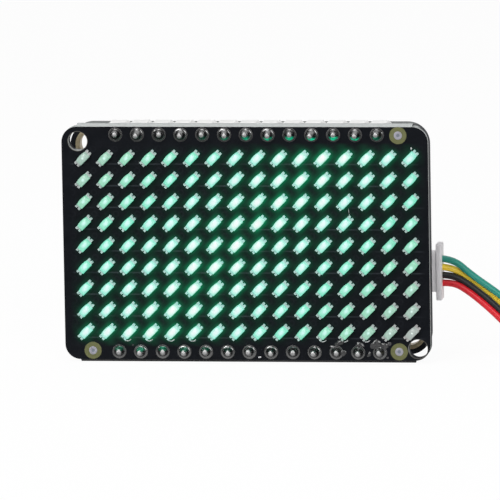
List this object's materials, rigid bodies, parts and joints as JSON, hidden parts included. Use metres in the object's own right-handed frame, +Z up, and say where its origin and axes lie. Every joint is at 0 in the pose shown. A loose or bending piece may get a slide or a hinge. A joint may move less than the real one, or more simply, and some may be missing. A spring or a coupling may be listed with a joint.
{
  "type": "led dot matrix",
  "caption": "LED dot matrix module: a black board with a grid of slanted lights, held by pin headers in front of a driver board with a plugged-in lead.",
  "frame": {"origin": "middle of the bottom of the module without its lead, where its long lower edge stands on the surface", "axes": "+X to the right along the boards' long side, +Y to the back through the boards, +Z up; the lights face -Y"},
  "size_m": [0.0969, 0.0098, 0.0278],
  "materials": {
    "solder_mask": "black satin solder mask",
    "light": "clear moulded resin over a lit chip",
    "header_plastic": "natural moulded plastic",
    "contact_metal": "tin plated",
    "solder": "bright solder",
    "chip_plastic": "moulded black epoxy",
    "capacitor": "fired ceramic with tinned ends",
    "resistor": "black glaze with tinned ends",
    "connector_plastic": "natural moulded nylon",
    "red_wire": "red insulation",
    "black_wire": "black insulation",
    "yellow_wire": "yellow insulation",
    "green_wire": "green insulation",
    "wire_bundle": "red, black, yellow and green insulation",
    "tie_plastic": "moulded nylon"
  },
  "bodies": {
    "root": {"light_board": "solder_mask", "driver_board": "solder_mask", "light_row_1": "light", "light_row_2": "light", "light_row_3": "light", "light_row_4": "light", "light_row_5": "light", "light_row_6": "light", "light_row_7": "light", "light_row_8": "light", "light_row_9": "light", "header_strip_top": "header_plastic", "header_strip_bottom": "header_plastic", "header_pins_top": "contact_metal", "header_pins_bottom": "contact_metal", "front_solder_top": "solder", "front_solder_bottom": "solder", "back_solder_top": "solder", "back_solder_bottom": "solder", "driver_chip": "chip_plastic", "driver_chip_leads": "solder", "capacitors": "capacitor", "resistors": "resistor", "socket_shell": "connector_plastic", "socket_contacts": "contact_metal", "socket_tabs": "contact_metal", "near_plug": "connector_plastic", "near_plug_crimps": "contact_metal", "far_plug": "connector_plastic", "far_plug_crimps": "contact_metal", "wire_red": "red_wire", "wire_black": "black_wire", "wire_yellow": "yellow_wire", "wire_green": "green_wire", "lead_hank": "wire_bundle", "lead_tie": "tie_plastic"}
  },
  "joints": []
}
